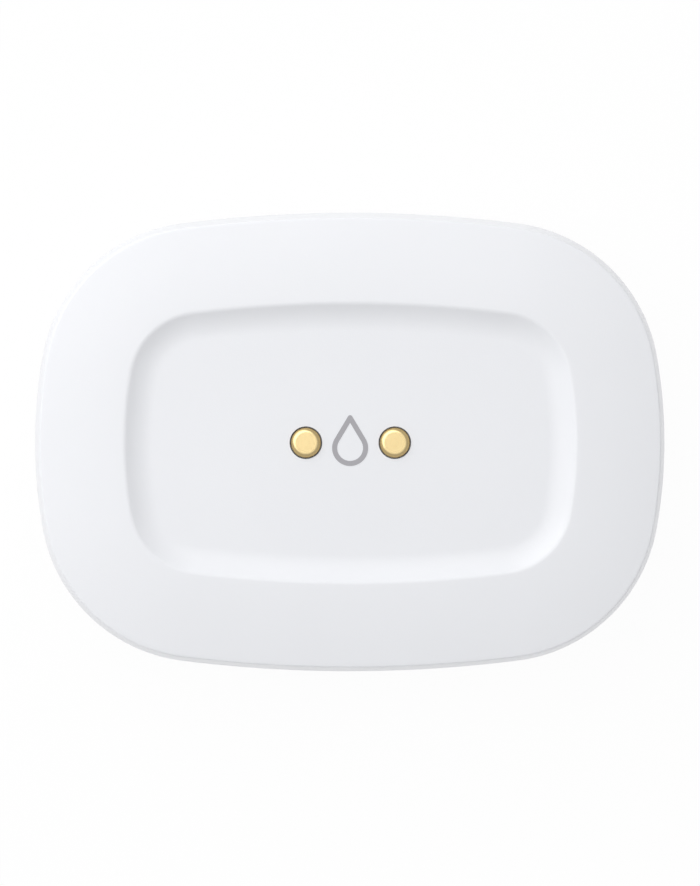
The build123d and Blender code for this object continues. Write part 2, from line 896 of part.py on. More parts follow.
save("status_led", make_status_led())
save("temperature_sensor", make_temperature_sensor())
save("voltage_regulator", make_voltage_regulator())
save("crystal", make_crystal())
save("capacitors", group(make_chips(capacitor_place_share, capacitor_height)))
save("resistors", group(make_chips(resistor_place_share, resistor_height)))
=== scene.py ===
# Water leak sensor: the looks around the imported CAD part
import bmesh
import bpy
import json
import math
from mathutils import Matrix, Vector

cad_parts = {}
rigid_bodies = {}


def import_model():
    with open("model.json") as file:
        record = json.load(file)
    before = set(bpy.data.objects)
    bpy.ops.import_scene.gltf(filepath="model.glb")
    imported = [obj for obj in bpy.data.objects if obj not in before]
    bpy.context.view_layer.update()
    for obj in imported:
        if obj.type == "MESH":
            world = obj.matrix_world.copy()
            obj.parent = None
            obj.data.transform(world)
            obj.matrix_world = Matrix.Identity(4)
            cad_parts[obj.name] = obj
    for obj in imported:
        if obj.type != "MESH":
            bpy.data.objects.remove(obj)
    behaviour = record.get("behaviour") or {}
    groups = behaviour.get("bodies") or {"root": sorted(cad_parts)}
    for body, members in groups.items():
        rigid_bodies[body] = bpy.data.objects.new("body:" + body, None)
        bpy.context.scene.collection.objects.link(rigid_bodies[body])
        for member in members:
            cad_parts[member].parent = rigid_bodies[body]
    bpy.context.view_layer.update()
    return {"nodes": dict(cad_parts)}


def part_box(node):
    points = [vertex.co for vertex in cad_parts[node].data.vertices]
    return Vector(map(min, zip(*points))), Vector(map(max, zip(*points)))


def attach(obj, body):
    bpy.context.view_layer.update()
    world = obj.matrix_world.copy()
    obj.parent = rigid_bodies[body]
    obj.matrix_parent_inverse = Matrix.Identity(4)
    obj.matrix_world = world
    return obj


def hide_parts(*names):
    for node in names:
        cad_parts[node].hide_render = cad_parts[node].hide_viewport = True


for leftover in list(bpy.data.objects):  # a fresh Blender may hold a cube, a lamp and a camera
    bpy.data.objects.remove(leftover)
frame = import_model()
nodes = frame["nodes"]
mm = 0.001
print("frame loaded:", len(nodes), "CAD nodes")


def addObject(name, data):  # a mesh, a lamp or a camera
    made = bpy.data.objects.new(name, data)
    bpy.context.scene.collection.objects.link(made)
    return made


def addMesh(name, points, edges=(), faces=()):  # points in mm
    mesh = bpy.data.meshes.new(name)
    mesh.from_pydata([(x * mm, y * mm, z * mm) for x, y, z in points], edges, faces)
    return addObject(name, mesh)


def around(radius, angle):
    return radius * math.cos(angle), radius * math.sin(angle)


# Camera: nearly straight above, a little to the upper left, as in the photo
view = dict(
    distance=1000 * mm, leftOf=7 * mm, aboveOf=9 * mm, frameHeight=78.80 * mm,
    aim=(0.018 * mm, -0.089 * mm, 8 * mm), sensor=36, clip=(0.05, 20))


def addCamera(size):
    data = bpy.data.cameras.new("camera")
    data.sensor_width = size["sensor"]
    data.lens = size["sensor"] * size["distance"] / size["frameHeight"]
    data.clip_start, data.clip_end = size["clip"]
    camera = addObject("camera", data)
    away = Vector((-size["leftOf"], size["aboveOf"], size["distance"]))
    camera.location = Vector(size["aim"]) + away
    camera.rotation_euler = Vector((0, 0, 1)).rotation_difference(away).to_euler()
    bpy.context.scene.camera = camera


addCamera(view)
bpy.context.scene.view_settings.view_transform = "Standard"


class Signal:  # a socket that can be reckoned with
    def __init__(self, net, socket):
        self.net, self.socket = net, socket

    def reckon(self, operation, *values):
        return self.net.node("ShaderNodeMath", {"operation": operation}, dict(enumerate(values)))

    def __add__(self, other):
        return self.reckon("ADD", self, other)

    def __sub__(self, other):
        return self.reckon("SUBTRACT", self, other)

    def __rsub__(self, other):
        return self.reckon("SUBTRACT", other, self)

    def __mul__(self, other):
        return self.reckon("MULTIPLY", self, other)

    def __truediv__(self, other):
        return self.reckon("DIVIDE", self, other)

    def __pow__(self, other):
        return self.reckon("POWER", self, other)

    def above(self, level):
        return self.reckon("GREATER_THAN", self, level)

    def size(self):
        return self.reckon("ABSOLUTE", self)

    def wrapped(self):
        return self.reckon("FRACT", self)

    def soft(self, low, high):  # 0 below low, 1 above high and smooth between them
        return self.net.node("ShaderNodeMapRange", {"interpolation_type": "SMOOTHSTEP"},
                             {"Value": self, "From Min": low, "From Max": high})

    def band(self, start, flat, slope):  # 1 from start on for the length of flat, with a slope at both ends
        return self.soft(start - slope, start) * (1 - self.soft(start + flat, start + flat + slope))

    def larger(self, other):
        return self.reckon("MAXIMUM", self, other)

    def clamped(self):
        return self.reckon("MINIMUM", self.larger(0), 1)

    __radd__ = __add__
    __rmul__ = __mul__


class Net:  # any node tree, built up node by node
    def node(self, kind, settings=None, values=None, out=0):
        made = self.tree.nodes.new(kind)
        for name, setting in (settings or {}).items():
            if name == "stops":
                ramp = made.color_ramp.elements
                while len(ramp) < len(setting):
                    ramp.new(0.5)
                for stop, (position, level) in zip(ramp, setting):
                    stop.position, stop.color = position, (level, level, level, 1)
            else:
                setattr(made, name, setting)
        for socket, value in (values or {}).items():
            for single in value if isinstance(value, list) else [value]:
                if isinstance(single, Signal):
                    self.tree.links.new(single.socket, made.inputs[socket])
                else:
                    made.inputs[socket].default_value = single
        return Signal(self, made.outputs[out])


class Paint(Net):  # one material
    def __init__(self, name, **fixed):
        self.material = bpy.data.materials.new(name)
        self.material.use_nodes = True
        self.tree = self.material.node_tree
        self.shader = self.tree.nodes["Principled BSDF"]
        for socket, value in fixed.items():
            self.shader.inputs[socket.replace("_", " ")].default_value = value
        self.place = self.node("ShaderNodeTexCoord", out="Object")
        self.x, self.y, self.z = (self.node("ShaderNodeSeparateXYZ", {}, {"Vector": self.place}, letter) / mm
                                  for letter in "XYZ")

    def away(self, x, y, mirrored=False):  # distance in mm from an upright axis, or from two alike
        across = self.x.size() if mirrored else self.x
        return ((across - x) ** 2 + (self.y - y) ** 2) ** 0.5

    def stretched(self, scale, turn=(0, 0, 0)):
        return self.node("ShaderNodeMapping", {}, {"Vector": self.place, "Scale": scale, "Rotation": turn})

    def noise(self, perMm, detail=3, roughness=0.55, place=None):
        return self.node("ShaderNodeTexNoise", {}, {"Vector": place or self.place, "Scale": perMm / mm,
                                                    "Detail": detail, "Roughness": roughness})

    def cells(self, perMm):
        return self.node("ShaderNodeTexVoronoi", {}, {"Vector": self.place, "Scale": perMm / mm})

    def blend(self, amount, first, second):
        colours = {6: first, 7: second}
        for slot, colour in colours.items():
            if not isinstance(colour, Signal):
                colours[slot] = (*colour, 1)
        return self.node("ShaderNodeMix", {"data_type": "RGBA"}, {0: amount, **colours}, 2)

    def finish(self, colour, roughness, metallic, relief, depth, coat=None):  # depth of the relief in mm
        bump = self.node("ShaderNodeBump", {}, {"Height": relief, "Distance": depth * mm, "Strength": 1.0})
        varied = (("Base Color", colour), ("Roughness", roughness), ("Metallic", metallic),
                  ("Coat Weight", coat), ("Normal", bump))
        for socket, value in varied:
            if value is not None:
                self.tree.links.new(value.socket, self.shader.inputs[socket])
        return self.material


class Growth(Net):  # one Geometry Nodes tree, with a named input for each of its values
    def __init__(self, name, **values):
        self.values = values
        self.tree = bpy.data.node_groups.new(name, "GeometryNodeTree")
        sockets = self.tree.interface
        sockets.new_socket("Geometry", in_out="INPUT", socket_type="NodeSocketGeometry")
        for label, value in values.items():
            kind = type(value).__name__.capitalize()  # Object, Material, Float or Int
            sockets.new_socket(label, in_out="INPUT", socket_type="NodeSocket" + kind)
        sockets.new_socket("Geometry", in_out="OUTPUT", socket_type="NodeSocketGeometry")
        self.entry = self.tree.nodes.new("NodeGroupInput")
        self.exit = self.tree.nodes.new("NodeGroupOutput")

    def given(self, label):
        return Signal(self, self.entry.outputs[label])

    def point(self, x=0, y=0, z=0):
        return self.node("ShaderNodeCombineXYZ", {}, {"X": x, "Y": y, "Z": z})

    def moved(self, geometry, x=0, y=0, z=0):
        return self.node("GeometryNodeTransform", {}, {"Geometry": geometry, "Translation": self.point(x, y, z)})

    def joined(self, *parts):
        return self.node("GeometryNodeJoinGeometry", {}, {0: list(parts)})

    def shape(self, label):  # the mesh of an object that is one of the inputs
        return self.node("GeometryNodeObjectInfo", {}, {"Object": self.given(label)}, "Geometry")

    def curve(self, mesh, **chosen):
        return self.node("GeometryNodeMeshToCurve", {}, {"Mesh": mesh, **chosen})

    def circle(self, radius, steps):
        return self.node("GeometryNodeCurvePrimitiveCircle", {}, {"Radius": radius, "Resolution": steps})

    def swept(self, path, label, capped=False):  # a section that is one of the inputs, carried along the path
        return self.node("GeometryNodeCurveToMesh", {}, {
            "Curve": path, "Profile Curve": self.curve(self.shape(label)), "Fill Caps": capped})

    def filled(self, *loops):
        return self.node("GeometryNodeFillCurve", {}, {"Curve": self.joined(*loops)})

    def sown(self, points, shape, **turned):
        return self.node("GeometryNodeInstanceOnPoints", {}, {"Points": points, "Instance": shape, **turned})

    def realised(self, geometry):
        return self.node("GeometryNodeRealizeInstances", {}, {0: geometry})

    def finish(self, geometry, crease=30, weld=0.0005 * mm):
        steep = self.node("GeometryNodeInputMeshEdgeAngle").above(math.radians(crease))
        whole = self.node("GeometryNodeMergeByDistance", {}, {"Geometry": self.realised(geometry), "Distance": weld})
        smooth = self.node("GeometryNodeSetShadeSmooth", {"domain": "EDGE"},
                           {"Geometry": whole, "Selection": steep, "Shade Smooth": False})
        done = self.node("GeometryNodeSetMaterial", {}, {"Geometry": smooth, "Material": self.given("Material")})
        self.tree.links.new(done.socket, self.exit.inputs[0])

    def grow(self, base):  # the grown mesh, as a plain object with no modifier
        modifier = base.modifiers.new(self.tree.name, "NODES")
        modifier.node_group = self.tree
        for item in self.tree.interface.items_tree:
            if item.in_out == "INPUT" and item.name in self.values:
                modifier[item.identifier] = self.values[item.name]
        graph = bpy.context.evaluated_depsgraph_get()
        mesh = bpy.data.meshes.new_from_object(base.evaluated_get(graph))
        for helper in [base] + [value for value in self.values.values() if isinstance(value, bpy.types.Object)]:
            bpy.data.objects.remove(helper)
        outward(mesh)
        return addObject(self.tree.name, mesh)


# Meshes that the pieces below are made from
def outward(mesh):
    shell = bmesh.new()
    shell.from_mesh(mesh)
    bmesh.ops.recalc_face_normals(shell, faces=shell.faces)
    shell.to_mesh(mesh)
    shell.free()


def wires(name, lines, closed, height=0):  # lines of edges that a tree can turn into curves
    points, edges = [], []
    for line in lines:
        start, count = len(points), len(line)
        points += [(x, y, height) for x, y in line]
        edges += [(start + step, start + (step + 1) % count) for step in range(count if closed else count - 1)]
    return addMesh(name, points, edges)


def fromShell(name, shell):
    bmesh.ops.recalc_face_normals(shell, faces=shell.faces)
    bmesh.ops.scale(shell, vec=(mm, mm, mm), verts=shell.verts)
    mesh = bpy.data.meshes.new(name)
    shell.to_mesh(mesh)
    shell.free()
    return addObject(name, mesh)


def extruded(shell, corners, shift):  # a flat face drawn out, and the corners of its far end
    face = shell.faces.new([shell.verts.new(corner) for corner in corners])
    made = bmesh.ops.extrude_face_region(shell, geom=[face])["geom"]
    far = [part for part in made if isinstance(part, bmesh.types.BMVert)]
    bmesh.ops.translate(shell, verts=far, vec=shift)
    return far


def prism(name, section, width, edge):  # a section in X and Z, as thick as the width along Y
    shell = bmesh.new()
    extruded(shell, [(x, -width / 2, z) for x, z in section], (0, width, 0))
    bmesh.ops.bevel(shell, geom=list(shell.edges), offset=edge, segments=1, profile=0.5, affect="EDGES")
    return fromShell(name, shell)


def turnedShape(name, section, steps):  # a section of radii and heights, closed round the Z axis
    shell = bmesh.new()
    rings = []
    for radius, height in section:
        turns = [2 * math.pi * step / steps for step in range(steps if radius else 1)]
        rings.append([shell.verts.new((*around(radius, turn), height)) for turn in turns])
    pairs = list(zip(rings, rings[1:]))
    if section[0][0]:
        pairs.append((rings[-1], rings[0]))
    for first, second in pairs:
        for step in range(steps):
            corners = [first[step % len(first)], first[(step + 1) % len(first)],
                       second[(step + 1) % len(second)], second[step % len(second)]]
            shell.faces.new(list(dict.fromkeys(corners)))
    return fromShell(name, shell)


def crossPoints(reach, half):  # the outline of a plus, anticlockwise
    arm = [(reach, -half), (reach, half), (half, half)]
    return [(x * a - y * b, x * b + y * a) for a, b in ((1, 0), (0, 1), (-1, 0), (0, -1)) for x, y in arm]


def place(piece, slot, body="base", *replaced):  # on its body, instead of CAD nodes; the slot is not used
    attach(piece, body)
    if replaced:
        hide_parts(*replaced)
    print(piece.name, "is in place:", len(piece.data.polygons), "faces")


# Floor, sky and lamp: the floor's sizes in mm, the lamp's in metres
studio = dict(
    floorRadius=5000, floorSteps=64, floorGap=0.02, floorWhite=0.92, floorRough=0.9,
    floorShown=0.958, keyTurn=136, keyRise=50, keyAway=0.35, keySize=0.45, keyPower=0.99,
    skyStrength=1.06, skyBands=((0.12, 1.0), (0.25, 0.45), (0.85, 0.40), (0.92, 0.80)))


def addFloor(size):
    steps, white = size["floorSteps"], size["floorWhite"]
    ring = [(*around(size["floorRadius"], 2 * math.pi * step / steps), -size["floorGap"]) for step in range(steps)]
    floor = addMesh("floor", ring, faces=[list(range(steps))])
    paint = Paint("floorPaper", Roughness=size["floorRough"], Base_Color=(white, white, white, 1))
    light = paint.node("ShaderNodeEmission", {}, {"Color": (1, 1, 1, 1), "Strength": 1.0})
    rays = [paint.node("ShaderNodeLightPath", out=ray)
            for ray in ("Is Camera Ray", "Is Glossy Ray", "Is Transmission Ray")]
    seen = (rays[0] + rays[1] + rays[2]).clamped() * size["floorShown"]
    both = paint.node("ShaderNodeMixShader", {}, {0: seen, 1: Signal(paint, paint.shader.outputs[0]), 2: light})
    paint.tree.links.new(both.socket, paint.tree.nodes["Material Output"].inputs["Surface"])
    floor.data.materials.append(paint.material)


def addSky(size):  # brighter at the horizon and overhead than between
    world = bpy.data.worlds.new("sky")
    world.use_nodes = True
    bpy.context.scene.world = world
    net = Net()
    net.tree = world.node_tree
    place = net.node("ShaderNodeTexCoord", out="Generated")
    height = net.node("ShaderNodeSeparateXYZ", {}, {"Vector": place}, "Z")
    bands = net.node("ShaderNodeValToRGB", {"stops": size["skyBands"]}, {"Fac": height})
    backdrop = net.tree.nodes["Background"]
    backdrop.inputs["Strength"].default_value = size["skyStrength"]
    net.tree.links.new(bands.socket, backdrop.inputs["Color"])


def addKey(size):
    rise = math.radians(size["keyRise"])
    towards = Vector((*around(math.cos(rise), math.radians(size["keyTurn"])), math.sin(rise)))
    data = bpy.data.lights.new("keyLamp", "AREA")
    data.size, data.energy = size["keySize"], size["keyPower"]
    lamp = addObject("keyLamp", data)
    lamp.location = towards * size["keyAway"]
    lamp.rotation_euler = towards.to_track_quat("Z", "Y").to_euler()


addFloor(studio)
addSky(studio)
addKey(studio)
print("camera, floor and light are in place")


# Finishes: their values, the functions that mix them and the list by slot
whitePlastic = dict(
    dark=(0.835, 0.845, 0.875), light=(0.86, 0.87, 0.90), fleck=(0.74, 0.74, 0.75),
    rough=0.34, roughSpread=0.10, depth=0.004)
contactGold = dict(
    pitch=7.85, flat=1.08, dark=(0.88, 0.68, 0.345), light=(0.93, 0.74, 0.385),
    # the flank colour is painted shade, a dark olive standing in for the flank's dark reflection
    paintedFlankShade=(0.56, 0.41, 0.18), pit=(0.45, 0.33, 0.16))
cellSteel = dict(ring=11.2, dark=(0.54, 0.54, 0.53), light=(0.65, 0.65, 0.64), smudge=(0.44, 0.43, 0.40))
tinColours = (0.54, 0.55, 0.56), (0.62, 0.63, 0.64)
padColours = (0.80, 0.60, 0.28), (0.90, 0.71, 0.36)
chipColours = (0.006, 0.006, 0.0065), (0.016, 0.016, 0.017)
shieldVents = dict(
    x=-20.665, y=1.35, pitch=0.9, vent=0.24, rows=2.0, columns=3.0, top=7.38,
    # the last colour is painted shade: near black for the vents, in place of holes
    hole=(0.012, 0.012, 0.013))
antennaTrack = dict(
    x=-20.665, y=-3.475, pitch=0.42, half=0.34, dark=(0.66, 0.70, 0.73),
    light=(0.74, 0.78, 0.81), silver=(0.60, 0.60, 0.58))
sensorMark = dict(x=14.36, y=-11.88, radius=0.18)
regulatorMark = dict(x=-14.75, y=-13.20, radius=0.15)
ejectorRings = [(x, y, 1.5) for y in (11.5, -11.5) for x in (-9.0, 9.0)] + [(0, 0, 2.2)]


def satinWhite(name, size, marks=()):  # marks are raised rings under the base, where the mould pushes it out
    paint = Paint(name)
    grain = 0.6 * paint.cells(9.0) + paint.noise(14.0, 4)
    colour = paint.blend(paint.noise(0.08, 2), size["dark"], size["light"])
    colour = paint.blend(0.5 * paint.noise(2.6, 5, 0.7).soft(0.70, 0.80), colour, size["fleck"])
    relief = grain + 1.5 * paint.noise(0.22, 2)
    for x, y, radius in marks:
        relief = relief + 3 * paint.away(x, y).band(radius, 0.10, 0.12)
    roughness = size["rough"] + size["roughSpread"] * paint.noise(0.6, 3)
    return paint.finish(colour, roughness, None, relief, size["depth"])


def plating(name, size):  # turned and plated: lathe rings on the flat, painted shade on the flank
    paint = Paint(name, Metallic=1.0)
    away = paint.away(size["pitch"] / 2, 0, True)
    # painted shade: outside the flat top the colour turns darker and browner in place of the flank's dark
    # reflection; this mask also raises the roughness
    paintedFlankShade = away.soft(size["flat"] - 0.05, size["flat"] + 0.20)
    lathe = paint.node("ShaderNodeTexNoise", {"noise_dimensions": "1D"}, {"W": away, "Scale": 16.0, "Detail": 4})
    tone = paint.noise(1.1, 3)
    colour = paint.blend(tone, size["dark"], size["light"])
    colour = paint.blend(paintedFlankShade, colour, size["paintedFlankShade"])
    pits = paint.noise(22.0, 3).soft(0.72, 0.80)
    return paint.finish(paint.blend(0.4 * pits, colour, size["pit"]), 0.25 + 0.07 * lathe + 0.10 * paintedFlankShade, None,
                        lathe - 0.6 * pits, 0.0012)


def moulded(name, dark, light, rough, grainPerMm=8.0, depth=0.006, **fixed):
    paint = Paint(name, **fixed)
    grain = 0.5 * paint.cells(grainPerMm) + paint.noise(grainPerMm * 1.7, 4)
    colour = paint.blend(paint.noise(0.5, 4), dark, light)
    colour = paint.blend(0.6 * paint.noise(grainPerMm * 0.4, 5, 0.7).soft(0.66, 0.78), colour, light)
    return paint.finish(colour, rough + 0.14 * paint.noise(1.3, 3), None, grain, depth)


def strip(name, dark, light, rough, brush=(1, 6, 1)):  # rolled and brushed metal
    paint = Paint(name, Metallic=1.0)
    lines = paint.noise(6.0, 5, 0.6, paint.stretched(brush))
    scratch = paint.noise(2.5, 2, 0.4, paint.stretched((brush[1], brush[0] / 4, 1), (0, 0, 0.4))).soft(0.66, 0.70)
    colour = paint.blend(paint.noise(0.9, 4), dark, light)
    stain = paint.noise(0.35, 5, 0.65).soft(0.52, 0.75)
    colour = paint.blend(0.35 * stain, colour, (dark[0] * 0.7, dark[1] * 0.62, dark[2] * 0.5))
    return paint.finish(colour, rough + 0.16 * lines + 0.12 * stain, None, lines + 0.8 * scratch, 0.002)


def cellFinish(name, size):  # drawn steel: brushed flat, a stamped ring and handling marks
    paint = Paint(name, Metallic=1.0)
    brushed = paint.noise(5.0, 5, 0.6, paint.stretched((1, 14, 1), (0, 0, 0.5)))
    ring = paint.away(0, 0).band(size["ring"], 0.05, 0.18)
    smudge = paint.noise(0.16, 4, 0.6).soft(0.45, 0.70)
    scratch = paint.noise(1.6, 2, 0.4, paint.stretched((0.3, 7, 1), (0, 0, 1.1))).soft(0.68, 0.71)
    colour = paint.blend(brushed, size["dark"], size["light"])
    colour = paint.blend(0.4 * smudge, colour, size["smudge"])
    return paint.finish(colour, 0.20 + 0.10 * brushed + 0.10 * smudge, None,
                        brushed - 2.5 * ring - 1.2 * scratch, 0.003)


def maskedBoard(name, mask, copper, edge, pitch=1.1):  # lacquer over hatched copper, glass laminate at the edges
    paint = Paint(name, Coat_Roughness=0.12)
    facing = paint.node("ShaderNodeSeparateXYZ", {}, {"Vector": paint.node("ShaderNodeTexCoord", out="Normal")}, "Z")
    side = 1 - facing.size().soft(0.4, 0.6)
    rising, falling = [(((paint.x + turn * paint.y) / pitch).wrapped() - 0.5).size().soft(0.30, 0.38)
                       for turn in (1, -1)]
    pour = rising.larger(falling)
    warp, weft = (paint.noise(3.0, 3, 0.5, paint.stretched(scale)) for scale in ((1, 6, 1), (6, 1, 1)))
    weave = warp + weft
    colour = paint.blend(0.6 * pour + 0.3 * paint.noise(0.4, 4), mask, copper)
    colour = paint.blend(side, colour, paint.blend(weave - 0.5, edge, [0.6 * part for part in edge]))
    return paint.finish(colour, 0.22 + 0.08 * paint.noise(1.0, 3) + 0.4 * side, None,
                        2.0 * pour * (1 - side) + 0.4 * weave, 0.006, 0.6 * (1 - side))


def shieldFinish(name, size):  # the radio's lid: plated sheet with rows of small vents, drawn as painted shade in place of holes
    paint = Paint(name)
    across, along = (paint.x - size["x"]) / size["pitch"], (paint.y - size["y"]) / size["pitch"]
    inside = (1 - across.size().above(size["rows"])) * (1 - along.size().above(size["columns"]))
    hole = ((across.wrapped() - 0.5) ** 2 + (along.wrapped() - 0.5) ** 2) ** 0.5
    hole = (1 - hole.soft(size["vent"] - 0.03, size["vent"] + 0.03)) * inside * paint.z.above(size["top"])
    lines = paint.noise(6.0, 5, 0.6, paint.stretched((1, 7, 1)))
    colour = paint.blend(paint.noise(0.7, 4), *tinColours)
    # painted shade: the vents are coloured near black, with no metal, in place of real holes
    colour = paint.blend(hole, colour, size["hole"])
    return paint.finish(colour, 0.26 + 0.14 * lines + 0.4 * hole, 1 - hole, lines - 5 * hole, 0.004)


def antennaFinish(name, size):  # fired ceramic with a silver track folded along its top
    paint = Paint(name)
    turn = ((paint.x - size["x"]) / size["pitch"]).wrapped()
    bar = (turn - 0.5).size().soft(0.10, 0.16)
    track = (1 - bar) * (1 - (paint.y - size["y"]).size().above(size["half"]))
    speck = paint.noise(6.0, 5, 0.6)
    colour = paint.blend(speck, size["dark"], size["light"])
    colour = paint.blend(track, colour, size["silver"])
    return paint.finish(colour, 0.45 - 0.2 * track + 0.1 * speck, track, speck + 3 * track, 0.004)


def chipFinish(name, size):  # black moulding compound with a round mark at the first pin
    paint = Paint(name)
    dot = 1 - paint.away(size["x"], size["y"]).soft(size["radius"] - 0.03, size["radius"] + 0.02)
    grain = paint.noise(18.0, 5, 0.65) + 0.4 * paint.cells(14.0)
    colour = paint.blend(grain - 0.3, *chipColours)
    colour = paint.blend(0.5 * dot, colour, (0.03, 0.03, 0.03))
    return paint.finish(colour, 0.52 - 0.25 * dot + 0.1 * paint.noise(2.0, 3), None, grain - 3 * dot, 0.005)


def printed(name, dark, light):
    paint = Paint(name)
    speckle = paint.noise(12.0, 4)
    colour = paint.blend(speckle, dark, light)
    colour = paint.blend(0.35 * paint.noise(30.0, 3).soft(0.68, 0.78), colour, (0.80, 0.81, 0.83))
    return paint.finish(colour, 0.50 + 0.15 * speckle, None, speckle, 0.002)


finishes = {
    "white_plastic": satinWhite("coverWhite", whitePlastic),
    "gold_plating": plating("goldPlating", contactGold),
    "spring_metal": strip("nickelStrip", (0.55, 0.53, 0.48), (0.64, 0.62, 0.57), 0.22),
    "nut_steel": strip("nutSteel", (0.32, 0.33, 0.35), (0.42, 0.43, 0.45), 0.28, (3, 3, 1)),
    "screw_steel": strip("zincSteel", (0.42, 0.43, 0.46), (0.56, 0.56, 0.55), 0.24, (2, 2, 1)),
    "cell_steel": cellFinish("cellSteel", cellSteel),
    "tinned_steel": strip("tinnedSheet", *tinColours, 0.26, (1, 5, 1)),
    "seal_rubber": moulded("sealSilicone", (0.31, 0.34, 0.38), (0.37, 0.40, 0.44), 0.36, 5.0, 0.004,
                           Subsurface_Weight=0.2, Subsurface_Scale=0.5 * mm),
    "ring_rubber": moulded("ringRubber", (0.004, 0.004, 0.0045), (0.010, 0.010, 0.011), 0.42),
    "foot_rubber": moulded("footRubber", (0.42, 0.43, 0.46), (0.49, 0.50, 0.53), 0.62, 6.0, 0.012),
    "board_laminate": maskedBoard("boardMask", (0.006, 0.065, 0.022), (0.010, 0.125, 0.045), (0.46, 0.40, 0.20)),
    "module_laminate": maskedBoard("moduleMask", (0.004, 0.018, 0.060), (0.006, 0.032, 0.115), (0.42, 0.38, 0.22)),
    "holder_plastic": moulded("holderPlastic", (0.008, 0.008, 0.009), (0.020, 0.020, 0.022), 0.44, 7.0, 0.008),
    "gasket_plastic": moulded("gasketPlastic", (0.028, 0.026, 0.024), (0.045, 0.042, 0.038), 0.38),
    "switch_plastic": moulded("switchPlastic", (0.007, 0.007, 0.0075), (0.016, 0.016, 0.017), 0.40),
    "stem_plastic": moulded("stemPlastic", (0.64, 0.62, 0.55), (0.71, 0.69, 0.62), 0.36),
    "clear_plastic": moulded("clearPlastic", (0.93, 0.95, 0.96), (0.98, 0.99, 1.0), 0.03, 3.0, 0.001,
                             Transmission_Weight=1.0, IOR=1.49),
    "led_resin": moulded("ledResin", (0.84, 0.79, 0.50), (0.90, 0.87, 0.66), 0.22),
    "chip_black": moulded("chipBlack", *chipColours, 0.50, 12.0),
    "ceramic_tan": moulded("ceramicTan", (0.34, 0.20, 0.10), (0.43, 0.28, 0.15), 0.40, 10.0, 0.004),
    "antenna_ceramic": antennaFinish("antennaCeramic", antennaTrack),
}
nodeFinishes = {"radio_shield": shieldFinish("shieldSheet", shieldVents),
                "temperature_sensor": chipFinish("sensorChip", sensorMark),
                "voltage_regulator": chipFinish("regulatorChip", regulatorMark),
                "base_shell": satinWhite("baseWhite", whitePlastic, ejectorRings)}

for name, node in nodes.items():
    for holder in node.material_slots:
        slot = holder.material.name.split(".")[0]
        holder.material = nodeFinishes.get(name, finishes[slot])
print("finishes are on:", len(finishes) + len(nodeFinishes), "materials")


# The cover moulding, drawn once as a section and carried round the outline
outline = dict(
    halfLength=28.0, halfWidth=20.4, longSide=119.0, shortSide=43.5, corner=14.4,
    stepLength=0.5)
cover = dict(
    rimHeight=16.0, landDrop=0.75, landCrown=60.0, sideLean=0.55, edgeRound=0.2,
    rimInset=8.0, rimTrim=0.1, rimRound=0.64, dishDepth=0.9, dishWall=3.52, floorWall=1.3,
    roofWall=1.6, skirtWall=1.4, pocketRound=1.0, partingHeight=8.0, partingRound=0.18,
    contactPitch=7.85, seatRadius=1.44, seatDepth=0.75, shankRadius=0.70, circleSteps=64,
    landSteps=18, wallSteps=14, roundSteps=10, partingSteps=4, pocketSteps=6, underSteps=8)
fittings = dict(
    postInner=15.2, postOuter=16.4, postWidth=3.2, postBottom=8.254, root=14.45,
    padRadius=1.0, padPlace=6.063, padBottom=11.3,
    keyWidth=3.0, keyInner=18.13, keyOuter=19.7, keyBottom=10.1,
    sleevePlace=(23.04, -4.6), sleeveRadius=1.59, sleeveBore=0.94, sleeveBottom=11.05,
    edge=0.12, edgeSteps=3, sharp=1, steps=40)  # sharp: an angle in radians


def meet(first, firstRadius, second, secondRadius, side):  # where two circles cross
    between = second - first
    along = (firstRadius ** 2 - secondRadius ** 2 + between.length_squared) / (2 * between.length)
    aside = math.sqrt(firstRadius ** 2 - along ** 2)
    ahead = between.normalized()
    return first + ahead * along + side * aside * Vector((-ahead.y, ahead.x))


def reached(centre, aim, distance):
    return centre + (aim - centre).normalized() * distance


def arcPoints(centre, start, end, steps):  # the short way round
    first, last = start - centre, end - centre
    turn = math.atan2(first.x * last.y - first.y * last.x, first.dot(last))
    spin = [turn * step / steps for step in range(steps + 1)]
    return [centre + Vector((first.x * math.cos(a) - first.y * math.sin(a),
                             first.x * math.sin(a) + first.y * math.cos(a))) for a in spin]


def roundedCorner(before, corner, after, radius, steps):
    inward, onward = (before - corner).normalized(), (after - corner).normalized()
    half = inward.angle(onward) / 2
    start, end = corner + inward * radius / math.tan(half), corner + onward * radius / math.tan(half)
    centre = corner + (inward + onward).normalized() * radius / math.sin(half)
    return arcPoints(centre, start, end, steps)


def outlinePoints(size):
    longCentre = Vector((0, size["halfWidth"] - size["longSide"]))
    shortCentre = Vector((size["halfLength"] - size["shortSide"], 0))
    corner = meet(longCentre, size["longSide"] - size["corner"], shortCentre, size["shortSide"] - size["corner"], -1)
    high = math.atan2(corner.y - longCentre.y, corner.x - longCentre.x)
    low = math.atan2(corner.y - shortCentre.y, corner.x - shortCentre.x)
    quarter = [(shortCentre, size["shortSide"], 0, low), (corner, size["corner"], low, high),
               (longCentre, size["longSide"], high, math.pi / 2)]
    points = []
    for centre, radius, start, end in quarter:
        steps = max(2, round(radius * (end - start) / size["stepLength"]))
        for step in range(steps):
            x, y = around(radius, start + (end - start) * step / steps)
            points.append((centre.x + x, centre.y + y))
    points.append((0, size["halfWidth"]))
    top = points + [(-x, y) for x, y in reversed(points[:-1])]
    return top + [(x, -y) for x, y in reversed(top[1:-1])]


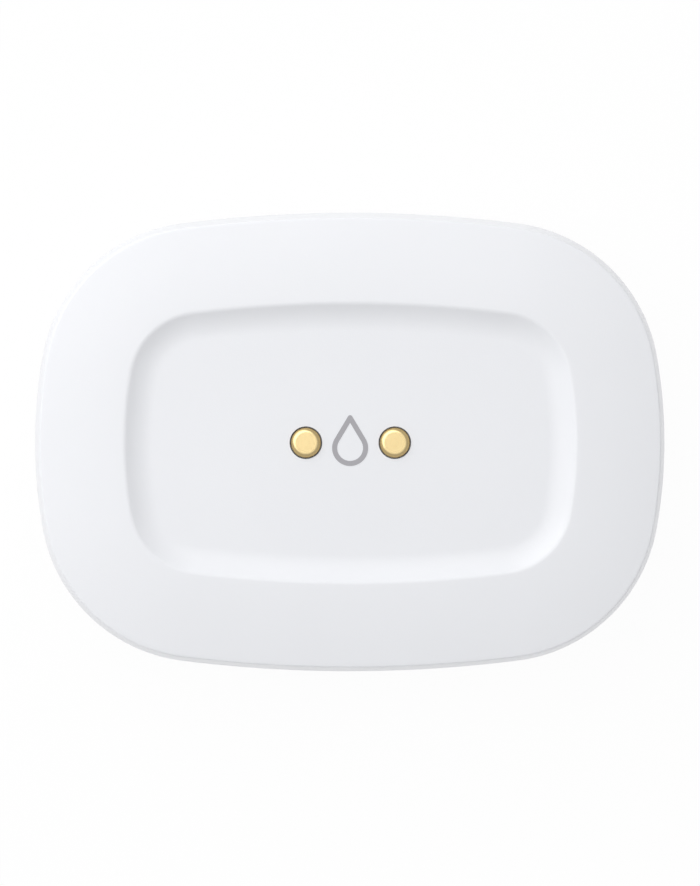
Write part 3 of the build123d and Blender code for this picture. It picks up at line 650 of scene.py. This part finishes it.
def coverSection(size):  # points of minus the inset from the outline and minus the height
    rim, floor = size["rimHeight"], size["rimHeight"] - size["dishDepth"]
    run = math.sqrt(size["dishWall"] ** 2 - (size["dishWall"] - size["dishDepth"]) ** 2)
    underX = -size["rimInset"] - run
    floorX, rimX = underX - size["rimTrim"], -size["rimInset"] - size["rimTrim"]
    wallCentre, underCentre = Vector((floorX, floor + size["dishWall"])), Vector((underX, floor + size["dishWall"]))
    rimPoint, edgePoint = Vector((rimX, rim)), Vector((-size["sideLean"], rim - size["landDrop"]))
    landCentre = meet(rimPoint, size["landCrown"], edgePoint, size["landCrown"], -1)
    roundCentre = meet(landCentre, size["landCrown"] - size["rimRound"], wallCentre,
                       size["dishWall"] + size["rimRound"], -1)
    wallTop = reached(wallCentre, roundCentre, size["dishWall"])
    landTop = reached(landCentre, roundCentre, size["landCrown"])
    lip, innerLip = Vector((0, size["partingHeight"])), Vector((-size["skirtWall"], size["partingHeight"]))
    pocket = Vector((-size["skirtWall"], edgePoint.y - size["roofWall"]))
    underRise = size["dishWall"] + floor - rim + size["roofWall"]
    underRun = math.sqrt((size["dishWall"] + size["floorWall"]) ** 2 - underRise ** 2)
    shoulder = Vector((underX + underRun, rim - size["roofWall"]))
    ceiling = Vector((underX, floor - size["floorWall"]))
    land = arcPoints(landCentre, landTop, edgePoint, size["landSteps"])
    steps = size["roundSteps"]
    points = arcPoints(wallCentre, Vector((floorX, floor)), wallTop, size["wallSteps"])
    points += arcPoints(roundCentre, wallTop, landTop, steps)[1:] + land[1:-1]
    points += roundedCorner(land[-2], edgePoint, lip, size["edgeRound"], steps)
    points += roundedCorner(edgePoint, lip, innerLip, size["partingRound"], size["partingSteps"]) + [innerLip]
    points += roundedCorner(innerLip, pocket, shoulder, size["pocketRound"], size["pocketSteps"])
    points += arcPoints(underCentre, shoulder, ceiling, size["underSteps"])
    return [(point.x, -point.y) for point in points]


def addFittings(size):  # posts, pads and key inside the cover
    shell = bmesh.new()
    half, keyHalf, root = size["postWidth"] / 2, size["keyWidth"] / 2, size["root"]
    blocks = [((size["postInner"], -half, size["postBottom"]), (size["postOuter"], half, root)),
              ((-size["postOuter"], -half, size["postBottom"]), (-size["postInner"], half, root)),
              ((-keyHalf, size["keyInner"], size["keyBottom"]), (keyHalf, size["keyOuter"], root))]
    for low, high in blocks:
        for vertex in bmesh.ops.create_cube(shell, size=1)["verts"]:
            vertex.co = Vector([high[i] if vertex.co[i] > 0 else low[i] for i in range(3)])
    for x, y in ((1, 1), (-1, 1), (-1, -1), (1, -1)):
        made = bmesh.ops.create_cone(shell, cap_ends=True, segments=size["steps"], radius1=size["padRadius"],
                                     radius2=size["padRadius"], depth=root - size["padBottom"])["verts"]
        bmesh.ops.translate(shell, verts=made, vec=(x * size["padPlace"], y * size["padPlace"],
                                                    (root + size["padBottom"]) / 2))
    sharp = [edge for edge in shell.edges if edge.calc_face_angle(0) > size["sharp"]]
    bmesh.ops.bevel(shell, geom=sharp, offset=size["edge"], segments=size["edgeSteps"], profile=0.5, affect="EDGES")
    return fromShell("fittings", shell)


def coverTree(**values):
    tree = Growth("coverShell", **values)
    skin = tree.swept(tree.curve(tree.given("Geometry")), "Section")
    free = (1.5 - tree.node("GeometryNodeInputMeshEdgeNeighbors")).above(0)  # edges with a face on one side only
    height = tree.node("ShaderNodeSeparateXYZ", {}, {0: tree.node("GeometryNodeInputPosition")}, "Z")
    upper = height.above((tree.given("DishFloor") + tree.given("DishCeiling")) / 2)
    rimLoop, underLoop = tree.curve(skin, Selection=free * upper), tree.curve(skin, Selection=free * (1 - upper))
    half = tree.given("ContactPitch") / 2
    studs = tree.node("GeometryNodeMeshLine", {"mode": "END_POINTS"},
                      {"Count": 2, "Start Location": tree.point(0 - half), "Offset": tree.point(half)})
    steps = tree.given("CircleSteps")
    seatPath, shankPath = tree.circle(tree.given("SeatRadius"), steps), tree.circle(tree.given("ShankRadius"), steps)
    seats = tree.sown(studs, tree.swept(seatPath, "Seat"))
    floor = tree.filled(rimLoop, tree.realised(tree.sown(studs, seatPath)))
    ceiling = tree.filled(underLoop, tree.realised(tree.sown(studs, shankPath)))
    sleeve = tree.swept(tree.circle(tree.given("SleeveRadius"), steps), "Sleeve")
    sleeve = tree.moved(sleeve, tree.given("SleeveX"), tree.given("SleeveY"))
    tree.finish(tree.joined(skin, seats, tree.moved(floor, z=tree.given("DishFloor")),
                            tree.moved(ceiling, z=tree.given("DishCeiling")), sleeve, tree.shape("Fittings")))
    return tree


def addCover(shape, size, inside):
    floor = size["rimHeight"] - size["dishDepth"]
    ceiling, step = floor - size["floorWall"], floor - size["seatDepth"]
    narrow = size["shankRadius"] - size["seatRadius"]
    bore = inside["sleeveBore"] - inside["sleeveRadius"]
    root, bottom = -inside["root"], -inside["sleeveBottom"]
    seat = [(0, -floor), (0, -step), (narrow, -step), (narrow, -ceiling)]
    tree = coverTree(
        Section=wires("section", [coverSection(size)], False), Seat=wires("seat", [seat], False),
        Sleeve=wires("sleeve", [[(0, root), (0, bottom), (bore, bottom), (bore, root)]], True),
        Fittings=addFittings(inside), ContactPitch=size["contactPitch"] * mm, SeatRadius=size["seatRadius"] * mm,
        ShankRadius=size["shankRadius"] * mm, CircleSteps=size["circleSteps"], DishFloor=floor * mm,
        DishCeiling=ceiling * mm, SleeveRadius=inside["sleeveRadius"] * mm,
        SleeveX=inside["sleevePlace"][0] * mm, SleeveY=inside["sleevePlace"][1] * mm,
        Material=finishes["white_plastic"])
    place(tree.grow(wires("path", [outlinePoints(shape)], True)), "white_plastic", "cover", "top_cover")


addCover(outline, cover, fittings)


# The printed drop
dropSign = dict(
    across=-0.023, centre=-0.464, radius=1.59, tipRadius=0.215, tipUp=2.684,
    innerTip=0.02, stroke=0.447, ground=15.1, thickness=0.02, roundSteps=72, tipSteps=12,
    dark=(0.364, 0.358, 0.384), light=(0.424, 0.417, 0.441))


def dropLoop(size, inset):
    radius = size["radius"] - inset
    slant = math.asin((size["radius"] - size["tipRadius"]) / size["tipUp"])
    tip = max(size["tipRadius"] - inset, size["innerTip"])
    tipUp = (radius - tip) / math.sin(slant)
    points = []
    for step in range(size["roundSteps"] + 1):
        points.append(around(radius, math.pi - slant + (math.pi + 2 * slant) * step / size["roundSteps"]))
    for step in range(size["tipSteps"] + 1):
        x, y = around(tip, slant + (math.pi - 2 * slant) * step / size["tipSteps"])
        points.append((x, tipUp + y))
    return [(x + size["across"], y + size["centre"]) for x, y in points]


def addDropSign(size):  # a thin ring between the outline and the same outline further in
    rings = ((0, -1), (0, 1), (size["stroke"], 1), (size["stroke"], -1))
    points = [(x, y, size["ground"] + side * size["thickness"]) for inset, side in rings
              for x, y in dropLoop(size, inset)]
    count, faces = len(points) // len(rings), []
    for ring in range(len(rings)):
        start, onward = ring * count, (ring + 1) % len(rings) * count
        for step in range(count):
            after = (step + 1) % count
            faces.append((start + step, start + after, onward + after, onward + step))
    sign = addMesh("dropSign", points, faces=faces)
    outward(sign.data)
    sign.data.materials.append(printed("signInk", size["dark"], size["light"]))
    place(sign, "white_plastic", "cover")


addDropSign(dropSign)


def addRow(name, slot, finish, shape, first, second, turn=0.0, tall=1.0):  # the second spots face the other way
    tree = Growth(name, Shape=shape, Others=addMesh("second", second), Turn=turn, Tall=tall, Material=finish)
    shape, turn, tall = tree.shape("Shape"), tree.given("Turn"), tree.point(1, 1, tree.given("Tall"))
    rows = [tree.sown(points, shape, Scale=tall, Rotation=tree.point(z=angle)) for points, angle in (
        (tree.given("Geometry"), turn), (tree.shape("Others"), turn + math.pi))]
    tree.finish(tree.joined(*rows))
    place(tree.grow(addMesh("first", first)), slot)


# Board screws: a domed head with a cross recess over a threaded shank
screw = dict(
    acrossX=19.495, acrossY=10.502, seat=5.4, headRadius=1.6, headHeight=1.1, dome=0.42,
    domeTop=(0.2, 0.05), domeSide=(0.1, 0.14), flatRadius=1.12, underHead=0.12, coreRadius=0.62,
    shankRadius=0.79, tipRadius=0.42, tipHeight=0.42, length=3.18, threadFoot=0.36,
    threadGap=0.3, threadTurns=5.6, threadHalf=0.16, threadSunk=0.04, recessReach=0.82,
    recessHalf=0.17, recessDepth=0.62, recessFoot=0.5, steps=48, threadSteps=24, seed=7)


def recessShape(size):
    shell = bmesh.new()
    top = size["seat"] + size["headHeight"]
    upper = [shell.verts.new((x, y, top)) for x, y in crossPoints(size["recessReach"], size["recessHalf"])]
    foot = size["recessFoot"]
    lower = [shell.verts.new((v.co.x * foot, v.co.y * foot, top - size["recessDepth"])) for v in upper]
    count = len(upper)
    for step in range(count):
        after = (step + 1) % count
        shell.faces.new([upper[step], upper[after], lower[after], lower[step]])
    shell.faces.new(lower)
    return fromShell("recess", shell)


def screwTree(**values):
    tree = Growth("boardScrews", **values)
    steps, foot = tree.given("Steps"), tree.given("ThreadFoot")
    side = tree.swept(tree.circle(tree.given("HeadRadius"), steps), "Side")
    mouth = tree.curve(tree.shape("Mouth"))
    face = tree.moved(tree.filled(tree.circle(tree.given("FlatRadius"), steps), mouth), z=tree.given("HeadTop"))
    tip = tree.moved(tree.filled(tree.circle(tree.given("TipRadius"), steps)), z=tree.given("Bottom"))
    helix = tree.node("GeometryNodeCurveSpiral", {}, {
        "Resolution": tree.given("ThreadSteps"), "Rotations": tree.given("ThreadTurns"),
        "Start Radius": tree.given("ThreadRadius"), "End Radius": tree.given("ThreadRadius"),
        "Height": tree.given("ThreadTop") - foot})
    thread = tree.moved(tree.swept(helix, "Thread", True), z=foot)
    whole = tree.joined(side, face, tip, tree.shape("Recess"), thread)
    turn = tree.node("FunctionNodeRandomValue", {}, {2: 0.0, 3: math.pi, "Seed": tree.given("Seed")}, 1)
    tree.finish(tree.sown(tree.given("Geometry"), whole, Rotation=tree.point(z=turn)))
    return tree


def addScrews(size):
    seat, radius, flat, core, dome, under = (size[name] for name in (
        "seat", "headRadius", "flatRadius", "coreRadius", "dome", "underHead"))
    top, bottom = seat + size["headHeight"], seat - size["length"]
    (out, down), (inward, up) = size["domeTop"], size["domeSide"]
    side = [(flat, top), (flat + out, top - down), (radius - inward, top - dome + up), (radius, top - dome),
            (radius, seat + under), (radius - under, seat), (core, seat), (core, bottom + size["tipHeight"]),
            (size["tipRadius"], bottom)]
    deep, half = (size["shankRadius"] - core) / 2, size["threadHalf"]
    sunk = -deep - size["threadSunk"]
    x, y = size["acrossX"], size["acrossY"]
    tree = screwTree(
        Side=wires("side", [[(r - radius, -z) for r, z in side]], False), Recess=recessShape(size),
        Mouth=wires("mouth", [crossPoints(size["recessReach"], size["recessHalf"])], True),
        Thread=wires("thread", [[(deep, 0), (sunk, half), (sunk, -half)]], True), HeadRadius=radius * mm,
        FlatRadius=flat * mm, TipRadius=size["tipRadius"] * mm, ThreadRadius=(size["shankRadius"] + core) / 2 * mm,
        HeadTop=top * mm, Bottom=bottom * mm, ThreadFoot=(bottom + size["threadFoot"]) * mm,
        ThreadTop=(seat - size["threadGap"]) * mm, ThreadTurns=size["threadTurns"], Steps=size["steps"],
        ThreadSteps=size["threadSteps"], Seed=size["seed"], Material=finishes["screw_steel"])
    piece = tree.grow(addMesh("screwSpots", [(x, y, 0), (-x, y, 0), (-x, -y, 0), (x, -y, 0)]))
    place(piece, "screw_steel", "base", "board_screws")


addScrews(screw)


# Board: tracks under the lacquer, bare rings and pads, and white outlines round the parts
board = dict(
    top=5.4, track=dict(half=0.11, rise=0.03, bend=0.3),
    inkLine=dict(half=0.06, rise=0.012, bend=0.25), lineFlat=0.7, bendSteps=3,
    outlineMargin=0.35, chipOutline=(1.15, 0.795), padSteps=24, viaSteps=16,
    viaRing=((0.13, -0.01), (0.15, 0.03), (0.25, 0.03), (0.29, -0.01)),
    pad=((0, -0.01), (0.55, -0.01), (0.55, 0.03), (0.50, 0.04), (0, 0.04)))
tracks = (  # corners in mm
    ((-17.6, 2.2), (-16.9, 2.2), (-15.6, 3.5), (-15.6, 5.6), (-14.6, 6.6), (-14.6, 9.4), (-12.9, 11.1),
     (-12.9, 12.7)),
    ((-17.6, 3.3), (-16.9, 3.3), (-16.2, 4.0), (-16.2, 6.0), (-15.2, 7.0), (-15.2, 9.8), (-15.9, 10.5),
     (-15.9, 11.6)),
    ((-17.6, 4.4), (-17.2, 4.4), (-16.8, 4.8), (-16.8, 8.0)),
    ((-23.8, 3.3), (-24.1, 3.0), (-24.1, -3.6), (-23.2, -6.6), (-22.3, -7.5)),
    ((-17.6, -2.2), (-16.9, -2.2), (-15.9, -3.2), (-15.9, -6.2), (-15.0, -7.1), (-15.0, -9.6), (-13.7, -10.9),
     (-13.7, -11.9)),
    ((-17.6, -3.3), (-17.1, -3.3), (-16.5, -3.9), (-16.5, -6.8), (-17.2, -7.5), (-17.2, -12.4), (-15.6, -14.0),
     (-12.2, -14.0), (-11.6, -14.6), (-11.0, -14.6)),
    ((-16.2, 11.9), (-17.3, 13.0), (-17.3, 14.2), (-16.2, 15.3), (-10.1, 15.3), (-8.9, 14.1)),
    ((-10.9, 13.9), (-9.9, 13.9), (-8.9, 12.9)),
    ((17.2, 3.8), (16.2, 3.8), (15.3, 4.7), (15.3, 7.6), (14.5, 8.4), (14.5, 10.3), (15.0, 10.8), (15.0, 11.6)),
    ((17.2, 7.0), (16.6, 7.6), (16.6, 9.2), (15.9, 9.9), (15.9, 11.6)),
    ((13.0, 13.0), (12.2, 12.2), (11.4, 12.2), (10.3, 13.3), (10.3, 14.4)),
    ((23.9, 3.8), (24.2, 3.5), (24.2, -3.4), (23.7, -3.9), (23.6, -4.3)),
    ((22.4, -4.9), (22.4, -5.9), (21.4, -6.9), (18.4, -6.9), (15.4, -9.9), (15.4, -11.3)),
    ((16.0, -12.4), (17.4, -12.4), (18.6, -13.6), (18.6, -14.2)),
    ((13.9, -12.4), (13.2, -12.4), (12.2, -13.4)),
    ((12.4, -13.9), (13.4, -13.9), (14.4, -14.9), (17.0, -14.9)),
    ((9.3, -14.9), (8.9, -14.5), (8.9, -13.9), (8.4, -13.4), (5.3, -13.4), (3.8, -14.9), (2.6, -14.9)),
    ((-6.7, -15.4), (-5.4, -15.4), (-4.8, -14.8), (-2.6, -14.8)),
    ((-9.2, -14.6), (-8.8, -14.6), (-8.2, -15.2)),
    ((16.6, 0.0), (18.2, 0.0), (19.4, -1.2), (22.0, -1.2), (22.6, -1.8), (22.6, -4.3)),
    ((-16.6, 0.0), (-17.4, 0.0)),
)
viaSpots = ((-16.8, 8.0), (-22.3, -7.5), (-8.9, 14.1), (-8.9, 12.9), (18.6, -14.2), (17.0, -14.9), (2.0, 15.4),
            (4.2, 14.9), (-3.4, 15.2), (-21.6, 7.0), (-20.4, 7.0), (22.6, -7.6), (23.0, 0.8), (16.4, 5.4),
            (-19.4, -6.8), (-18.2, -6.2), (6.0, -14.5), (-5.6, 14.6), (12.4, -10.2), (-12.0, 9.4), (14.6, 6.2),
            (-14.0, -8.8), (20.6, -1.2))
padSpots = ((-22.4, 8.6), (-22.9, 7.0), (21.4, 0.8), (19.6, 1.0), (6.4, 15.4), (-21.0, -7.6))
outlined = ("switch_body", "temperature_sensor", "voltage_regulator", "crystal", "status_led")
chipSpots = dict(
    capacitors=((15.457, 11.958), (13.462, 13.344), (-15.457, 11.958), (-9.972, -14.557)),
    resistors=((11.717, -13.864), (9.972, -14.904), (-7.479, -15.424), (9.972, 14.73)))


def addLines(name, lines, closed, size, line, finish):  # thin raised lines with rounded corners
    half, flat, rise = line["half"], line["half"] * size["lineFlat"], line["rise"]
    section = [(-half, 0), (-flat, -rise), (flat, -rise), (half, 0), (flat, rise), (-flat, rise)]
    tree = Growth(name, Section=wires("lineSection", [section], True), Bend=line["bend"] * mm,
                  BendSteps=size["bendSteps"], Material=finish)
    path = tree.node("GeometryNodeFilletCurve", {"mode": "POLY"}, {
        "Curve": tree.curve(tree.given("Geometry")), "Count": tree.given("BendSteps"),
        "Radius": tree.given("Bend"), "Limit Radius": True})
    tree.finish(tree.swept(path, "Section", True))
    place(tree.grow(wires("lines", lines, closed, size["top"])), "board_laminate")


def partOutlines(size):
    margin, (halfX, halfY) = size["outlineMargin"], size["chipOutline"]
    boxes = []
    for name in outlined:
        low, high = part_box(name)
        boxes.append([low[i] / mm - margin for i in (0, 1)] + [high[i] / mm + margin for i in (0, 1)])
    boxes += [(x - halfX, y - halfY, x + halfX, y + halfY) for places in chipSpots.values() for x, y in places]
    return [[(a, b), (c, b), (c, d), (a, d)] for a, b, c, d in boxes]


def addBoardDetail(size):
    lacquer = printed("trackLacquer", (0.010, 0.125, 0.045), (0.016, 0.165, 0.062))
    ink = printed("boardInk", (0.62, 0.63, 0.62), (0.72, 0.73, 0.72))
    tin, gold = finishes["tinned_steel"], strip("padGold", *padColours, 0.24)
    addLines("boardTracks", tracks, False, size, size["track"], lacquer)
    addLines("boardOutlines", partOutlines(size), True, size, size["inkLine"], ink)
    for name, section, steps, places, slot, finish in (
            ("boardVias", size["viaRing"], size["viaSteps"], viaSpots, "tinned_steel", tin),
            ("boardPads", size["pad"], size["padSteps"], padSpots, "gold_plating", gold)):
        middles = [(x, y, size["top"]) for x, y in places]
        addRow(name, slot, finish, turnedShape("turned", section, steps), middles[::2], middles[1::2])


addBoardDetail(board)


# Ends, legs and rivets of the small parts, and the plus on the cell
smallParts = dict(
    top=5.4, edge=0.02, endTall=dict(capacitors=0.82, resistors=0.47), endReach=0.62,
    endWidth=0.84,
    endSection=((-0.10, 0), (0.42, 0), (0.30, 0.18), (0.20, 0.55), (0.19, 1.0), (-0.10, 1.0)),
    padX=(-17.865, -23.465), padWidth=0.55, padPitch=1.1, padCount=9, padTall=0.74,
    padSection=((-0.45, 0.96), (-0.45, 1.0), (0.02, 1.0), (0.05, 0.5), (0.35, 0), (-0.02, 0),
                (-0.02, 0.96)),
    legX=(-14.66, -13.71, -12.76), legY=(-12.02, -13.62), legWidth=0.4, legTall=0.62,
    legSection=((-0.05, 0.84), (0.22, 0.84), (0.32, 0), (0.68, 0), (0.68, 0.2), (0.46, 0.2), (0.34, 1.0),
                (-0.05, 1.0)),
    rivetReach=2.0, switchMiddle=(20.665, 5.4), rivetFoot=7.08, rivetSteps=20,
    rivet=((0, 0), (0.42, 0), (0.40, 0.10), (0.30, 0.17), (0.15, 0.20), (0, 0.21)))
cellPlus = dict(
    reach=2.1, half=0.32, foot=11.19, rise=0.035, edge=0.021, edgeSteps=2,
    dark=(0.46, 0.46, 0.45), light=(0.56, 0.56, 0.55), rough=0.32)


def addSmallParts(size):
    tin, edge, top = finishes["tinned_steel"], size["edge"], size["top"]
    for kind, tall in size["endTall"].items():
        right, left = ([(x + side * size["endReach"], y, top) for x, y in chipSpots[kind]] for side in (1, -1))
        addRow(kind[:-1] + "Ends", "tinned_steel", tin, prism("end", size["endSection"], size["endWidth"], edge),
               right, left, tall=tall)
    middle = (size["padCount"] - 1) / 2
    rows = [[(x, (step - middle) * size["padPitch"], top) for step in range(size["padCount"])] for x in size["padX"]]
    addRow("modulePads", "gold_plating", strip("modulePadGold", *padColours, 0.26),
           prism("pad", size["padSection"], size["padWidth"], edge / 2), *rows, tall=size["padTall"])
    left, middle, right = size["legX"]
    high, low = size["legY"]
    addRow("regulatorLegs", "tinned_steel", tin, prism("leg", size["legSection"], size["legWidth"], edge),
           [(left, high, top), (right, high, top)], [(left, low, top), (middle, low, top), (right, low, top)],
           math.pi / 2, size["legTall"])
    (x, y), reach, foot = size["switchMiddle"], size["rivetReach"], size["rivetFoot"]
    lower, upper = ([(x + side * reach, y + row * reach, foot) for side in (-1, 1)] for row in (-1, 1))
    addRow("switchRivets", "switch_plastic", finishes["switch_plastic"],
           turnedShape("rivet", size["rivet"], size["rivetSteps"]), lower, upper)


def addCellPlus(size):
    shell = bmesh.new()
    corners = [(x, y, size["foot"]) for x, y in crossPoints(size["reach"], size["half"])]
    upper = extruded(shell, corners, (0, 0, size["rise"]))
    rim = [edge for edge in shell.edges if all(vertex in upper for vertex in edge.verts)]
    bmesh.ops.bevel(shell, geom=rim, offset=size["edge"], segments=size["edgeSteps"], profile=0.5, affect="EDGES")
    piece = fromShell("cellPlus", shell)
    piece.data.materials.append(strip("stampedSteel", size["dark"], size["light"], size["rough"]))
    place(piece, "cell_steel")


addSmallParts(smallParts)
addCellPlus(cellPlus)
print("small parts are dressed")
